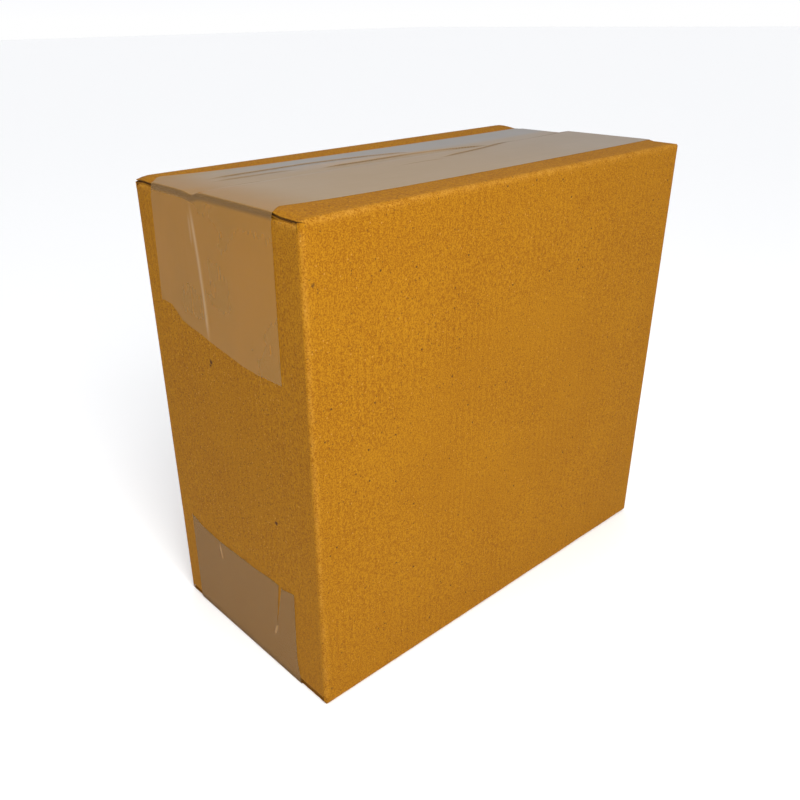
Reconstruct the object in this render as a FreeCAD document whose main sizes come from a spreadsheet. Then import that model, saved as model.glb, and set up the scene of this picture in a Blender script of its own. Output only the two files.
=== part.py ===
import FreeCAD, Part
import math
import os
import Sketcher

# A closed shipping carton of thin corrugated board. One creased and slotted blank makes its four
# walls, its glue tab and its eight flaps. A strip of wide tape closes the long flaps at the top,
# and another at the bottom. Millimetres, length along X, width along Y with the front at -Y, and
# +Z up. The origin is under the middle of the bottom tape, where the carton rests.

# Driving dimensions: name, value and what it measures
SIZES = [
    ("Length", 200.0, "carton outside, along X"),
    ("Width", 98.0, "carton outside, along Y"),
    ("Height", 182.4, "carton outside, over its closed flaps"),
    ("BoardThickness", 1.5, "fine-fluted board"),
    ("InnerFold", 0.4, "inside radius of every fold"),
    ("LayerGap", 0.2, "air between an end flap and the long flaps over it"),
    ("FlapSideGap", 0.5, "air between an end flap's sides and the long walls"),
    ("FlapEndInset", 0.8, "how far a long flap's ends stay behind the end walls"),
    ("SlotDepth", 0.5, "how far the slots between flaps run past the folds"),
    ("SeamGap", 0.8, "air between the two long flaps"),
    ("TopSeamShift", 6.0, "top seam off the middle, towards the rear"),
    ("TabWidth", 25.0, "glue tab, from the rear wall's inner face"),
    ("TabTaper", 8.0, "how much lower the tab's free edge is, at each end"),
    ("JointGap", 0.6, "from the end wall's raw edge to the tab's fold"),
    ("TapeWidth", 72.0, "both strips"),
    ("TapeThickness", 0.1, "film and adhesive"),
    ("TopTapeShift", 1.0, "top strip off the middle, towards the rear"),
    ("TopTornReach", 55.4, "longest reach of the top strip down the left end"),
    ("TopCutReach", 48.0, "reach of the top strip down the right end"),
    ("BottomTapeShift", 3.0, "bottom strip off the middle, towards the rear"),
    ("BottomTornReach", 44.7, "longest reach of the bottom strip up the left end"),
    ("BottomCutReach", 46.0, "reach of the bottom strip up the right end"),
    ("TearMargin", 1.0, "how far the tearing profile runs past the strip"),
]

# Torn ends, read from the strip's front edge: share of the strip's width, and how far the film is
# torn back from its longest reach
TOP_TEAR = [
    (0.0, 0.3), (0.18, 0.0), (0.30, 0.5), (0.43, 2.1), (0.57, 3.8), (0.65, 5.2),
    (0.73, 6.0), (0.81, 7.3), (0.86, 9.9), (0.90, 11.9), (0.98, 12.4), (1.0, 12.0),
]
# The deep point of the bottom strip's tear is a split that runs down into the film
BOTTOM_TEAR = [
    (0.0, 1.6), (0.10, 3.3), (0.112, 3.1), (0.17, 22.8), (0.136, 2.8), (0.22, 2.7),
    (0.34, 3.5), (0.71, 3.8), (0.89, 2.5), (1.0, 0.0),
]

# Places worked out from the sizes
HALF_LENGTH = "Sizes.Length / 2"
HALF_WIDTH = "Sizes.Width / 2"
HALF_HEIGHT = "Sizes.Height / 2"
BOARD = "Sizes.BoardThickness"
INNER_FOLD = "Sizes.InnerFold"
OUTER_FOLD = f"({BOARD} + {INNER_FOLD})"
END_FLAP_LEVEL = f"({HALF_HEIGHT} - {BOARD} - Sizes.LayerGap)"
WALL_TOP = f"({END_FLAP_LEVEL} - {OUTER_FOLD} - Sizes.SlotDepth)"
FLAP_REACH = f"({HALF_WIDTH} - Sizes.SeamGap / 2)"
TAPE = "Sizes.TapeThickness"
CARTON_MIDDLE = f"{TAPE} + {HALF_HEIGHT}"

doc = FreeCAD.newDocument("carton")


# The sheet of driving dimensions

def makeSheet():
    sheet = doc.addObject("Spreadsheet::Sheet", "Sizes")
    for row, (name, value, meaning) in enumerate(SIZES, start=1):
        sheet.set(f"A{row}", name)
        sheet.set(f"B{row}", str(value))
        sheet.set(f"C{row}", meaning)
        sheet.setAlias(f"B{row}", name)
    doc.recompute()
    return sheet


sheet = makeSheet()


def number(formula):
    return float(sheet.evalExpression(formula))


# Sketching helpers

def newSketch(body, name, plane, offset=None):
    sketch = body.newObject("Sketcher::SketchObject", name)
    support = [o for o in body.Origin.OriginFeatures if o.Role == plane]
    sketch.AttachmentSupport = [(support[0], "")]
    sketch.MapMode = "FlatFace"
    if offset:
        sketch.setExpression("AttachmentOffset.Base.z", offset)
    return sketch


def bind(sketch, kind, places, formula):
    index = sketch.addConstraint(Sketcher.Constraint(kind, *places, number(formula)))
    sketch.setExpression(f"Constraints[{index}]", formula)


# A closed outline of upright ("x") and level ("y") sides. Each side gives its place, and the inner
# or outer radius of the corner that it ends in, or None for a sharp corner.
def squareOutline(sketch, sides):
    count = len(sides)
    places = [number(side[1]) for side in sides]
    radii = [number(side[2]) if side[2] else 0.0 for side in sides]

    def corner(i):
        i, after = i % count, (i + 1) % count
        if sides[i][0] == "x":
            return FreeCAD.Vector(places[i], places[after], 0)
        return FreeCAD.Vector(places[after], places[i], 0)

    lines = []
    for i, (axis, formula, _) in enumerate(sides):
        start, end = corner(i - 1), corner(i)
        along = (end - start).normalize()
        start = start + along * radii[i - 1]
        end = end - along * radii[i]
        line = sketch.addGeometry(Part.LineSegment(start, end), False)
        upright = axis == "x"
        sketch.addConstraint(Sketcher.Constraint("Vertical" if upright else "Horizontal", line))
        bind(sketch, "DistanceX" if upright else "DistanceY", (-1, 1, line, 1), formula)
        lines.append((line, along))

    for i, (_, _, radius) in enumerate(sides):
        line, along = lines[i]
        following, onward = lines[(i + 1) % count]
        if not radius:
            sketch.addConstraint(Sketcher.Constraint("Coincident", line, 2, following, 1))
            continue
        roundCorner(sketch, corner(i), (line, along), (following, onward), radius)


def roundCorner(sketch, point, arriving, leaving, radius):
    line, along = arriving
    following, onward = leaving
    size = number(radius)
    centre = point - along * size + onward * size
    first, second = point - along * size - centre, point + onward * size - centre
    turnsLeft = along.x * onward.y - along.y * onward.x > 0
    if not turnsLeft:
        first, second = second, first
    circle = Part.Circle(centre, FreeCAD.Vector(0, 0, 1), size)
    begin = math.atan2(first.y, first.x)
    arc = sketch.addGeometry(Part.ArcOfCircle(circle, begin, begin + math.pi / 2), False)
    near, far = (1, 2) if turnsLeft else (2, 1)
    sketch.addConstraint(Sketcher.Constraint("Tangent", line, 2, arc, near))
    sketch.addConstraint(Sketcher.Constraint("Tangent", arc, far, following, 1))
    bind(sketch, "Radius", (arc,), radius)


# A closed outline through points whose two places are both formulas
def pointOutline(sketch, points):
    spots = [FreeCAD.Vector(number(x), number(y), 0) for x, y in points]
    lines = []
    for i, (x, y) in enumerate(points):
        after = spots[(i + 1) % len(spots)]
        line = sketch.addGeometry(Part.LineSegment(spots[i], after), False)
        bind(sketch, "DistanceX", (-1, 1, line, 1), x)
        bind(sketch, "DistanceY", (-1, 1, line, 1), y)
        lines.append(line)
    for line, following in zip(lines, lines[1:] + lines[:1]):
        sketch.addConstraint(Sketcher.Constraint("Coincident", line, 2, following, 1))


# Feature helpers

def pad(body, name, sketch, length):
    feature = body.newObject("PartDesign::Pad", name)
    feature.Profile = sketch
    feature.SideType = "Symmetric"
    feature.setExpression("Length", length)
    body.Tip = feature
    doc.recompute()
    return feature


def mirrored(body, name, feature, plane):
    mirror = body.newObject("PartDesign::Mirrored", name)
    support = [o for o in body.Origin.OriginFeatures if o.Role == plane]
    mirror.Originals = [feature]
    mirror.MirrorPlane = (support[0], [""])
    body.Tip = mirror
    doc.recompute()
    return mirror


def cutAway(body, name, sketch, length=None, towardsPlus=False):
    before = body.Shape.Volume
    pocket = body.newObject("PartDesign::Pocket", name)
    pocket.Profile = sketch
    pocket.Reversed = towardsPlus
    if length:
        pocket.setExpression("Length", length)
    else:
        pocket.Type = "ThroughAll"
    body.Tip = pocket
    doc.recompute()
    if not body.Shape.Volume < before:
        raise RuntimeError(f"{name} cuts nothing")
    return pocket


# The carton, one folded blank. Its body's origin is at the carton's middle.

# Section through the walls. The right end wall's raw edge stops behind the rear wall, which folds
# in behind it as the glue tab.
def cartonWalls(body):
    sketch = newSketch(body, "WallSection", "XY_Plane")
    squareOutline(sketch, [
        ("y", f"-{HALF_WIDTH}", OUTER_FOLD),
        ("x", HALF_LENGTH, None),
        ("y", f"{HALF_WIDTH} - {OUTER_FOLD} - Sizes.JointGap", None),
        ("x", f"{HALF_LENGTH} - {BOARD}", OUTER_FOLD),
        ("y", HALF_WIDTH, OUTER_FOLD),
        ("x", f"-{HALF_LENGTH}", OUTER_FOLD),
    ])
    squareOutline(sketch, [
        ("y", f"-({HALF_WIDTH} - {BOARD})", INNER_FOLD),
        ("x", f"{HALF_LENGTH} - {BOARD}", None),
        ("y", f"{HALF_WIDTH} - {BOARD} - Sizes.TabWidth", None),
        ("x", f"{HALF_LENGTH} - 2 * {BOARD}", INNER_FOLD),
        ("y", f"{HALF_WIDTH} - {BOARD}", INNER_FOLD),
        ("x", f"-({HALF_LENGTH} - {BOARD})", INNER_FOLD),
    ])
    return pad(body, "Walls", sketch, f"2 * {WALL_TOP}")


# The tab's ends slant from its fold to its free edge
def taperTab(body):
    sketch = newSketch(body, "TabTaperOutline", "YZ_Plane", f"{HALF_LENGTH} - 2 * {BOARD}")
    fold = f"{HALF_WIDTH} - {BOARD} - {INNER_FOLD}"
    free = f"{HALF_WIDTH} - {BOARD} - Sizes.TabWidth"
    for level in ("", "-"):
        pointOutline(sketch, [
            (fold, f"{level}{WALL_TOP}"),
            (free, f"{level}{WALL_TOP}"),
            (free, f"{level}({WALL_TOP} - Sizes.TabTaper)"),
        ])
    return cutAway(body, "TabTaper", sketch, BOARD, towardsPlus=True)


# A flap's section: up from the wall's edge, round the fold and in to the flap's free edge. The
# panel face, the flap's outer level and its reach give an end flap or a long flap. It is on the
# side towards minus (side "-") or plus (side ""), at the top (level "") or the bottom (level "-").
def flapSection(sketch, side, face, flapLevel, reach, level):
    squareOutline(sketch, [
        ("x", f"{side}{face}", OUTER_FOLD),
        ("y", f"{level}({flapLevel})", None),
        ("x", f"{side}({face} - ({reach}))", None),
        ("y", f"{level}({flapLevel} - {BOARD})", INNER_FOLD),
        ("x", f"{side}({face} - {BOARD})", None),
        ("y", f"{level}{WALL_TOP}", None),
    ])


def endFlaps(body, place, level):
    sketch = newSketch(body, f"{place}EndFlapSection", "XZ_Plane")
    flapSection(sketch, "-", HALF_LENGTH, END_FLAP_LEVEL, FLAP_REACH, level)
    width = f"Sizes.Width - 2 * {BOARD} - 2 * Sizes.FlapSideGap"
    flap = pad(body, f"{place}LeftFlap", sketch, width)
    return mirrored(body, f"{place}RightFlap", flap, "YZ_Plane")


# The seam between the long flaps may lie off the middle, so each has its own reach
def longFlaps(body, place, level, seamShift):
    reaches = (("Front", "-", f"{FLAP_REACH} + {seamShift}"),
               ("Rear", "", f"{FLAP_REACH} - {seamShift}"))
    for name, side, reach in reaches:
        sketch = newSketch(body, f"{place}{name}FlapSection", "YZ_Plane")
        flapSection(sketch, side, HALF_WIDTH, HALF_HEIGHT, reach, level)
        pad(body, f"{place}{name}Flap", sketch, "Sizes.Length - 2 * Sizes.FlapEndInset")


def makeCarton():
    body = doc.addObject("PartDesign::Body", "Carton")
    body.Label = "carton"
    body.setExpression("Placement.Base.z", CARTON_MIDDLE)
    cartonWalls(body)
    taperTab(body)
    endFlaps(body, "Top", "")
    longFlaps(body, "Top", "", "Sizes.TopSeamShift")
    endFlaps(body, "Bottom", "-")
    longFlaps(body, "Bottom", "-", "0")
    return body


# The tape. Each body's origin is in the middle of the strip, on the face that sticks to the
# carton. A strip runs over the long flaps and bends down both ends of the carton: outward is "" at
# the top and "-" at the bottom.

def tapeSection(sketch, outward, inward, tornReach, cutReach):
    innerBend = "Sizes.FlapEndInset"
    outerBend = f"({innerBend} + {TAPE})"
    squareOutline(sketch, [
        ("x", f"-({HALF_LENGTH} + {TAPE})", outerBend),
        ("y", f"{outward}{TAPE}", outerBend),
        ("x", f"{HALF_LENGTH} + {TAPE}", None),
        ("y", f"{inward}{cutReach}", None),
        ("x", HALF_LENGTH, innerBend),
        ("y", "0", innerBend),
        ("x", f"-{HALF_LENGTH}", None),
        ("y", f"{inward}{tornReach}", None),
    ])


# What is torn off the left end: everything past the ragged line
def tearOutline(sketch, inward, reach, tear):
    front = "-Sizes.TapeWidth / 2"
    margin = "Sizes.TearMargin"
    points = [
        (f"{front} + {share} * Sizes.TapeWidth", f"{inward}({reach} - {back})")
        for share, back in tear
    ]
    beside, behind = f"{front} - {margin}", f"-({front}) + {margin}"
    beyond = f"{inward}({reach} + {margin})"
    pointOutline(sketch, [
        (beside, points[0][1]), *points, (behind, points[-1][1]), (behind, beyond), (beside, beyond),
    ])


def makeTape(name, label, outward, shift, tornReach, cutReach, tear):
    inward = "" if outward else "-"
    body = doc.addObject("PartDesign::Body", name)
    body.Label = label
    body.setExpression("Placement.Base.y", shift)
    stuckTo = f"{CARTON_MIDDLE} - {HALF_HEIGHT}" if outward else f"{CARTON_MIDDLE} + {HALF_HEIGHT}"
    body.setExpression("Placement.Base.z", stuckTo)
    section = newSketch(body, f"{name}Section", "XZ_Plane")
    tapeSection(section, outward, inward, tornReach, cutReach)
    pad(body, f"{name}Strip", section, "Sizes.TapeWidth")
    torn = newSketch(body, f"{name}TearOutline", "YZ_Plane")
    tearOutline(torn, inward, tornReach, tear)
    cutAway(body, f"{name}Tear", torn)
    return body


def makeTapes():
    top = makeTape("TopTape", "top_tape", "", "Sizes.TopTapeShift",
                   "Sizes.TopTornReach", "Sizes.TopCutReach", TOP_TEAR)
    bottom = makeTape("BottomTape", "bottom_tape", "-", "Sizes.BottomTapeShift",
                      "Sizes.BottomTornReach", "Sizes.BottomCutReach", BOTTOM_TEAR)
    return [top, bottom]


bodies = [makeCarton(), *makeTapes()]
doc.recompute()

# Checks, then the files
for item in doc.Objects:
    if "Invalid" in item.State or "Error" in item.State:
        raise RuntimeError(f"{item.Name} did not recompute: {item.State}")
os.makedirs("parts", exist_ok=True)
for body in bodies:
    shape = body.Shape
    if shape.isNull() or not shape.isValid() or len(shape.Solids) != 1:
        raise RuntimeError(f"{body.Label} is not one valid solid")
for body in bodies:
    body.Shape.exportStep(f"parts/{body.Label}.step")
    box = body.Shape.BoundBox
    print(f"{body.Label}: {body.Shape.Volume:.0f} cubic mm, z {box.ZMin:.2f} to {box.ZMax:.2f}")
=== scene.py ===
import math

import bpy
import numpy as np
from mathutils import Matrix, Vector
from mathutils.geometry import delaunay_2d_cdt


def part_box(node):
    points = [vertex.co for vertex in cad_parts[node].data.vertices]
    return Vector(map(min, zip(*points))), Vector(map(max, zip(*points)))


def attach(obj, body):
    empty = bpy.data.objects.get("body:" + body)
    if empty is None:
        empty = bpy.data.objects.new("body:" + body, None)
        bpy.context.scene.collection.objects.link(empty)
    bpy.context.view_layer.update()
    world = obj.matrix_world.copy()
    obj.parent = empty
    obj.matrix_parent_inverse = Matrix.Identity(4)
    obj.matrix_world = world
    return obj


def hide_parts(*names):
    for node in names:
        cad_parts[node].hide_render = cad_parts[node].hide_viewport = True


# A closed shipping carton. One shell is bent from the flat blank, with its raw edges open between
# the two liners, and two strips of clear film lie over the seams. Sizes are in millimetres here,
# and every mesh is turned into metres as it is made.

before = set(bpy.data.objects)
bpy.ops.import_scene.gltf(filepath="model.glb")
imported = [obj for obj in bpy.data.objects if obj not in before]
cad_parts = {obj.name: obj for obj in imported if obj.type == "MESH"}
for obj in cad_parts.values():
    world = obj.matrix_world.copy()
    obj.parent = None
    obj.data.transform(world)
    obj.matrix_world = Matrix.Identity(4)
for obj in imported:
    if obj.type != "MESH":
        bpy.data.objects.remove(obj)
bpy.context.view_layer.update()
cartonLow, cartonHigh = [np.array(corner) * 1000 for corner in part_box("carton")]
halfLength = float(cartonHigh[0])
halfWidth = float(cartonHigh[1])
baseLevel = float(cartonLow[2])
topLevel = float(cartonHigh[2])
midLevel = (baseLevel + topLevel) / 2
print(f"frame loaded: carton {2 * halfLength:.1f} x {2 * halfWidth:.1f}, up to {topLevel:.1f} mm")


# Small numeric helpers

def smooth(edgeLow, edgeHigh, value):
    share = np.clip((value - edgeLow) / (edgeHigh - edgeLow), 0, 1)
    return share * share * (3 - 2 * share)


def hump(value, middle, spread):
    return np.exp(-((value - middle) / spread) ** 2)


# A smooth seeded unevenness between about -1 and 1, from a few slanting waves
def wobble(x, y, size, seed):
    draw = np.random.default_rng(seed)
    total = 0.0
    for _ in range(7):
        angle = draw.uniform(0, 2 * math.pi)
        pitch = size * draw.uniform(0.7, 1.8)
        phase = draw.uniform(0, 2 * math.pi)
        along = x * math.cos(angle) + y * math.sin(angle)
        total = total + np.sin(2 * math.pi * along / pitch + phase)
    return total / 4.2


def addObject(name, data):
    piece = bpy.data.objects.new(name, data)
    bpy.context.scene.collection.objects.link(piece)
    return piece


def addMesh(name, coords, faces):
    mesh = bpy.data.meshes.new(name)
    mesh.from_pydata(coords, [], faces)
    mesh.validate()
    mesh.update()
    return addObject(name, mesh)


# Node trees: a wire wraps a socket, so that sums on wires add their Math nodes

def operator(operation, turned=False):
    def apply(wire, other):
        first, second = (other, wire) if turned else (wire, other)
        return wire.paint.add("ShaderNodeMath", {"operation": operation}, {0: first, 1: second})
    return apply


class Wire:
    def __init__(self, paint, socket):
        self.paint = paint
        self.socket = socket

    __add__, __radd__ = operator("ADD"), operator("ADD", True)
    __sub__, __rsub__ = operator("SUBTRACT"), operator("SUBTRACT", True)
    __mul__, __rmul__ = operator("MULTIPLY"), operator("MULTIPLY", True)
    __truediv__, __rtruediv__ = operator("DIVIDE"), operator("DIVIDE", True)

    def clamped(self):
        return self.paint.add("ShaderNodeClamp", {}, {0: self})

    def between(self, low, high):
        return self.paint.add("ShaderNodeMapRange", {"interpolation_type": "SMOOTHSTEP"},
                              {0: self, 1: low, 2: high})


class Tree:
    def __init__(self, tree):
        self.tree = tree
        tree.nodes.clear()

    # Any node: its type, its settings first, then the values or links of its sockets
    def add(self, kind, settings=None, values=None, out=0):
        node = self.tree.nodes.new(kind)
        for name, value in (settings or {}).items():
            if name == "stops":
                ramp = node.color_ramp
                while len(ramp.elements) < len(value):
                    ramp.elements.new(0.5)
                for element, (position, colour) in zip(ramp.elements, value):
                    element.position = position
                    element.color = colour
            else:
                setattr(node, name, value)
        for name, value in (values or {}).items():
            if isinstance(value, Wire):
                self.tree.links.new(value.socket, node.inputs[name])
            else:
                node.inputs[name].default_value = value
        return Wire(self, node.outputs[out])

    def vector(self, operation, first, second=None, scale=None):
        values = {0: first}
        if second is not None:
            values[1] = second
        if scale is not None:
            values["Scale"] = scale
        out = 1 if operation == "DISTANCE" else 0
        return self.add("ShaderNodeVectorMath", {"operation": operation}, values, out)


class Paint(Tree):
    def __init__(self, name):
        self.material = bpy.data.materials.new(name)
        self.material.use_nodes = True
        super().__init__(self.material.node_tree)

    # The piece's own coordinates, or those of a map, in millimetres
    def place(self):
        return self.vector("SCALE", self.add("ShaderNodeTexCoord", {}, {}, 3), scale=1000.0)

    def spread(self, name):
        return self.vector("SCALE", self.add("ShaderNodeUVMap", {"uv_map": name}), scale=1000.0)

    def value(self, name):
        return self.add("ShaderNodeAttribute", {"attribute_name": name}, {}, 2)

    def bump(self, strength, distance, height):
        values = {"Strength": strength, "Distance": distance, "Height": height}
        return self.add("ShaderNodeBump", {}, values)

    def blend(self, share, first, second):
        return self.add("ShaderNodeMix", {"data_type": "RGBA"}, {0: share, 6: first, 7: second}, 2)

    def noise(self, place, size, detail=2.0, rough=0.5, stretch=(1.0, 1.0, 1.0)):
        moved = self.vector("MULTIPLY", place, tuple(part / size for part in stretch))
        return self.add("ShaderNodeTexNoise", {}, {"Vector": moved, "Scale": 1.0, "Detail": detail,
                                                   "Roughness": rough})

    def finish(self, colour, rough, normal, fixed):
        values = {"Base Color": colour, "Roughness": rough, "Normal": normal, **fixed}
        self.close(self.add("ShaderNodeBsdfPrincipled", {}, values))
        return self.material

    def close(self, shader):
        end = self.tree.nodes.new("ShaderNodeOutputMaterial")
        self.tree.links.new(shader.socket, end.inputs[0])


class Form(Tree):
    def __init__(self, name):
        super().__init__(bpy.data.node_groups.new(name, "GeometryNodeTree"))
        self.sockets = {}
        for way in ("INPUT", "OUTPUT"):
            self.tree.interface.new_socket("Geometry", in_out=way, socket_type="NodeSocketGeometry")

    # The named inputs, each with its kind of socket and its value
    def inlets(self, wanted):
        for name, (kind, value) in wanted.items():
            socket = self.tree.interface.new_socket(name, socket_type=kind)
            self.sockets[name] = (socket.identifier, value)
        node = self.tree.nodes.new("NodeGroupInput")
        return [Wire(self, socket) for socket in node.outputs[:len(wanted) + 1]]

    # Gives a piece the mesh that the tree makes from its own
    def shape(self, piece, end):
        last = self.tree.nodes.new("NodeGroupOutput")
        self.tree.links.new(end.socket, last.inputs[0])
        modifier = piece.modifiers.new(self.tree.name, "NODES")
        modifier.node_group = self.tree
        for identifier, value in self.sockets.values():
            modifier[identifier] = value
        ready = piece.evaluated_get(bpy.context.evaluated_depsgraph_get())
        piece.data = bpy.data.meshes.new_from_object(ready)
        piece.modifiers.remove(modifier)


def rgb(red, green, blue):
    return (red, green, blue, 1.0)


# Kraft liner: matt ochre paper with a fine mottled fibre grain, sparse dark and pale specks, the faint
# washboard of the flutes, lighter worn folds, and darker cut edges with painted shade deep in the
# hollow between the liners

kraft = {
    "deep": rgb(0.192, 0.064, 0.0003),
    "pale": rgb(0.334, 0.148, 0.0035),
    "worn": rgb(0.420, 0.205, 0.030),
    # the cut edges' own darker colour, also used for the painted shade deep in the hollow between the
    # liners
    "cut": rgb(0.120, 0.050, 0.012),
    "speckDark": rgb(0.060, 0.022, 0.006),
    "speckPale": rgb(0.560, 0.300, 0.070),
    "flutePitch": 3.2,
    # size in millimetres, detail, roughness and stretch of each noise
    "cloud": (38.0, 3.0, 0.55),
    "mottle": (5.5, 3.0, 0.6),
    "grain": (0.50, 2.0, 0.7),
    "fibre": (1.0, 2.0, 0.6, (1.6, 0.55, 1.0)),
    "drift": (60.0, 2.0, 0.5),
    "patches": (26.0, 2.0, 0.5),
    # cells' size, radius, share of cells with one, salt, strength, colour
    "specks": [
        (3.1, 0.50, 0.12, 11.0, 0.9, "speckDark"),
        (1.6, 0.36, 0.22, 29.0, 0.65, "speckDark"),
        (1.5, 0.32, 0.14, 47.0, 0.38, "speckPale"),
    ],
    "marks": [
        # place on the carton in millimetres, radius, and how dark
        ((-100.0, 9.2, 122.7), 1.2, 1.0),
        ((-100.0, 9.9, 121.3), 0.9, 1.0),
        ((-100.0, -24.3, 70.5), 1.1, 1.0),
        ((-96.5, -49.0, 163.0), 0.9, 0.7),
        ((-97.0, -49.0, 7.5), 0.7, 0.6),
    ],
}


def kraftPaint():
    paint = Paint("kraft board")
    place = paint.place()
    blank = paint.spread("blank")
    wear = paint.value("wear")
    cut = paint.value("cut")

    cloud = paint.noise(place, *kraft["cloud"])
    mottle = paint.noise(place, *kraft["mottle"])
    grain = paint.noise(place, *kraft["grain"])
    fibre = paint.noise(blank, *kraft["fibre"])
    across = paint.add("ShaderNodeSeparateXYZ", {}, {0: blank}, 0)
    drift = paint.noise(blank, *kraft["drift"]) * 5.0
    phase = (across + drift) * (2 * math.pi / kraft["flutePitch"])
    board = paint.add("ShaderNodeMath", {"operation": "SINE"}, {0: phase})
    wash = board * paint.noise(blank, *kraft["patches"]).between(0.42, 0.66)

    tone = (0.5 + (cloud - 0.5) * 0.35 + (mottle - 0.5) * 0.2 + (grain - 0.5) * 3.2
            + (fibre - 0.5) * 1.2 + wash * 0.09).clamped()
    colour = paint.blend(tone, kraft["deep"], kraft["pale"])

    # A cell of the pattern has a speck only where its own random number is high
    for size, radius, share, salt, strength, name in kraft["specks"]:
        moved = paint.vector("ADD", place, (salt, salt * 0.7, salt * 1.9))
        moved = paint.vector("SCALE", moved, scale=1 / size)
        cells = paint.add("ShaderNodeTexVoronoi", {}, {"Vector": moved, "Scale": 1.0})
        chance = Wire(paint, cells.socket.node.outputs[1])
        picked = paint.add("ShaderNodeSeparateColor", {}, {0: chance})
        near = 1.0 - cells.between(radius / size * 0.55, radius / size)
        speck = near * picked.between(1 - share, 1 - share + 0.01)
        colour = paint.blend(speck * strength, colour, kraft[name])
    for spot, radius, depth in kraft["marks"]:
        away = paint.vector("DISTANCE", place, spot)
        near = 1.0 - (away + (grain - 0.5) * 0.8).between(radius * 0.5, radius)
        colour = paint.blend(near * depth, colour, kraft["speckDark"])

    scuffed = (wear * ((grain - 0.5) * 3.0 + (mottle - 0.5) * 2.0 + 0.5)).clamped()
    colour = paint.blend(scuffed * 0.55, colour, kraft["worn"])
    # Darker cut edges: the liners' own cut colour at the lips, and painted shade deeper in the hollow
    # between them
    colour = paint.blend(cut, colour, kraft["cut"])

    height = grain * 0.55 + fibre * 0.35 + board * 0.22 + mottle * 0.1
    normal = paint.bump(0.55, 0.00009, height)
    rough = (0.80 + (grain - 0.5) * 0.25).clamped()
    return paint.finish(colour, rough, normal, {"Specular IOR Level": 0.11})


# Clear packing film: smooth and glossy, with the kraft showing through it as a duller tan, and with a
# painted sky reflection, sheen, shade and highlights

film = {
    "tan": rgb(0.358, 0.153, 0.002),
    "grey": rgb(0.325, 0.145, 0.005),
    "low": rgb(0.240, 0.111, 0.014),
    # painted sheen: the film over the top is lighter and greyer, as it mirrors the sky at a low angle
    "top": rgb(0.355, 0.244, 0.124),
    # painted reflection: the pale grey of the bright sky mirrored in the film over the rear strip and
    # towards the right end
    "haze": rgb(0.305, 0.281, 0.252),
    # painted shade: darker along the bend over the end and just before each ripple
    "fold": rgb(0.165, 0.088, 0.022),
    # lighter where the film is unstuck, and a painted highlight just behind each ripple
    "loose": rgb(0.460, 0.290, 0.135),
    "alpha": 0.6,
}


def filmPaint():
    paint = Paint("clear film")
    place = paint.place()
    strip = paint.spread("strip")
    parts = {name: paint.value(name) for name in ("flatTop", "haze", "fold", "loose", "low")}
    cloud = paint.noise(place, 30.0, 3.0, 0.5)
    streak = paint.noise(strip, 1.0, 2.0, 0.5, (0.012, 0.5, 1.0))
    colour = paint.blend(cloud.between(0.3, 0.7), film["tan"], film["grey"])
    colour = paint.blend(parts["low"], colour, film["low"])
    # Painted sheen over the top, growing from the left end
    colour = paint.blend(parts["flatTop"] * (0.75 + streak * 0.5), colour, film["top"])
    # Painted reflection of the sky over the top's rear strip and towards the right end
    colour = paint.blend((parts["haze"] * (0.6 + streak * 0.8)).clamped(), colour, film["haze"])
    # Painted shade along the bend and just before the ripples
    colour = paint.blend(parts["fold"], colour, film["fold"])
    # Lighter where the film is unstuck, and a painted highlight just behind each ripple
    colour = paint.blend(parts["loose"], colour, film["loose"])
    # Pressed into the board's grain on the walls, and glossier over the flaps
    rough = (0.50 - parts["flatTop"] * 0.18 + parts["low"] * 0.14 + parts["fold"] * 0.15
             + (cloud - 0.5) * 0.10 + (streak - 0.5) * 0.06).clamped()
    height = streak * 0.1 + cloud
    normal = paint.bump(0.2, 0.00006, height)
    return paint.finish(colour, rough, normal, {"Alpha": film["alpha"]})


kraftMaterial = kraftPaint()
filmMaterial = filmPaint()
print("materials made")


sharpAngle = math.radians(38)  # edges that turn more than this are shaded as sharp


# The outline of a flat layout, its points, and at each of them the way into the sheet
def flatOutline(flat, faces):
    # An edge used by one face only is on the outline, with the sheet on its left
    used = {}
    for face in faces:
        for start, end in zip(face, face[1:] + face[:1]):
            used[(start, end)] = True
    outline = [edge for edge in used if (edge[1], edge[0]) not in used]
    inward = np.zeros((len(flat), 2))
    for start, end in outline:
        run = flat[end] - flat[start]
        turned = np.array([-run[1], run[0]]) / max(np.hypot(*run), 1e-9)
        inward[start] += turned
        inward[end] += turned
    edgePoints = sorted({point for edge in outline for point in edge})
    reach = np.maximum(np.linalg.norm(inward[edgePoints], axis=1) ** 2 / 2, 0.5)
    inward[edgePoints] /= reach[:, None]
    return outline, edgePoints, inward


# The faces round the outline, from the outer face over the rim's rings to the inner one
def rimFaces(outline, edgePoints, count, rings):
    order = {point: number for number, point in enumerate(edgePoints)}
    made = []
    for start, end in outline:
        ladder = [(start, end)]
        for step in range(rings):
            base = 2 * count + step * len(edgePoints)
            ladder.append((base + order[start], base + order[end]))
        ladder.append((start + count, end + count))
        for above, below in zip(ladder, ladder[1:]):
            made.append((above[1], above[0], below[0], below[1]))
    return made


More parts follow.
